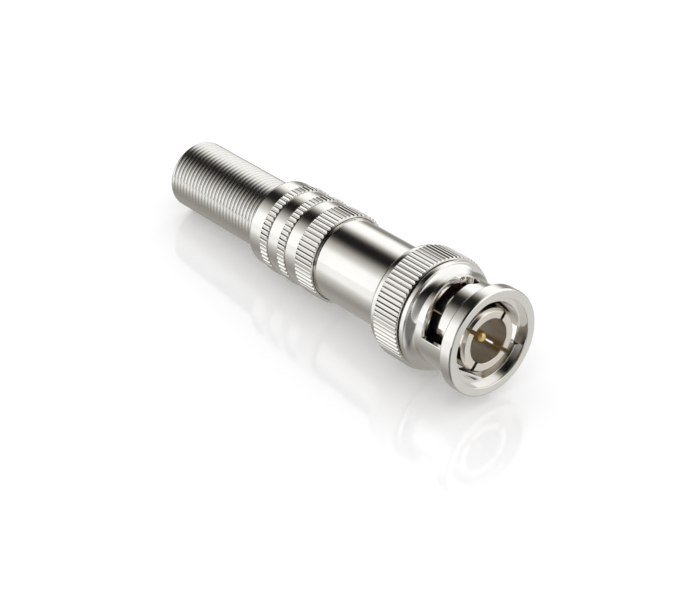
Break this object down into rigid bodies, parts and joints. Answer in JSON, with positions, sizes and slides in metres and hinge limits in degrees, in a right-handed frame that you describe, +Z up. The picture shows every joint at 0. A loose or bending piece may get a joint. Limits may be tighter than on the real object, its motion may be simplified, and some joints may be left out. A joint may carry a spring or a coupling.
{
  "type": "coaxial bayonet cable plug",
  "caption": "Straight coaxial cable plug with a knurled bayonet coupling nut, plain barrel, knurled screw-on back shell and wire spring strain relief.",
  "frame": {"origin": "on the axis, in the mating plane, where the end of a jack's sleeve comes to rest on the outer contact's shoulder and the gasket", "axes": "+X along the axis and out of the mating end, +Z up with the solder cup open on top, +Y to the left seen from behind the cable"},
  "size_m": [0.0566, 0.0144, 0.0144],
  "materials": {
    "nickel_polished": "polished nickel plate on brass",
    "nickel_satin": "satin nickel plate on brass",
    "spring_wire": "drawn steel wire, nickel plated",
    "gold_plate": "gold plate on brass",
    "bead_plastic": "moulded",
    "liner_plastic": "extruded tube",
    "gasket_rubber": "moulded silicone rubber",
    "tinned_brass": "tin plate on brass sheet",
    "spring_bronze": "phosphor bronze strip"
  },
  "bodies": {
    "plug_body": {"barrel": "nickel_polished", "outer_contact": "nickel_polished", "front_insulator": "bead_plastic", "rear_insulator": "bead_plastic", "centre_pin": "gold_plate", "gasket": "gasket_rubber", "wave_washer": "spring_bronze", "insulating_liner": "liner_plastic", "ground_lug": "tinned_brass"},
    "thrust_washer": {"thrust_washer": "tinned_brass"},
    "coupling_nut": {"coupling_nut": "nickel_satin", "retaining_ring": "spring_bronze"},
    "strain_relief": {"strain_relief_spring": "spring_wire"},
    "back_shell": {"back_shell": "nickel_polished"}
  },
  "joints": [
    {"name": "nut_slide", "type": "slide", "parent": "plug_body", "child": "thrust_washer", "axis": [1, 0, 0], "range_m": [0, 0.0004], "stiffness_N_per_m": 8000, "springref_m": -0.0002, "deforming": ["wave_washer"]},
    {"name": "nut_turn", "type": "hinge", "parent": "thrust_washer", "child": "coupling_nut", "pos_m": [0, 0, 0], "axis": [1, 0, 0], "continuous": true},
    {"name": "shell_travel", "type": "slide", "parent": "plug_body", "child": "strain_relief", "axis": [-1, 0, 0], "range_m": [0, 0.003]},
    {"name": "shell_turn", "type": "hinge", "parent": "strain_relief", "child": "back_shell", "pos_m": [0, 0, 0], "axis": [-1, 0, 0], "range_deg": [0, 1440]}
  ],
  "couplings": [
    {"joint": "shell_travel", "follows": "shell_turn", "m_per_rad": 0.00011936}
  ]
}
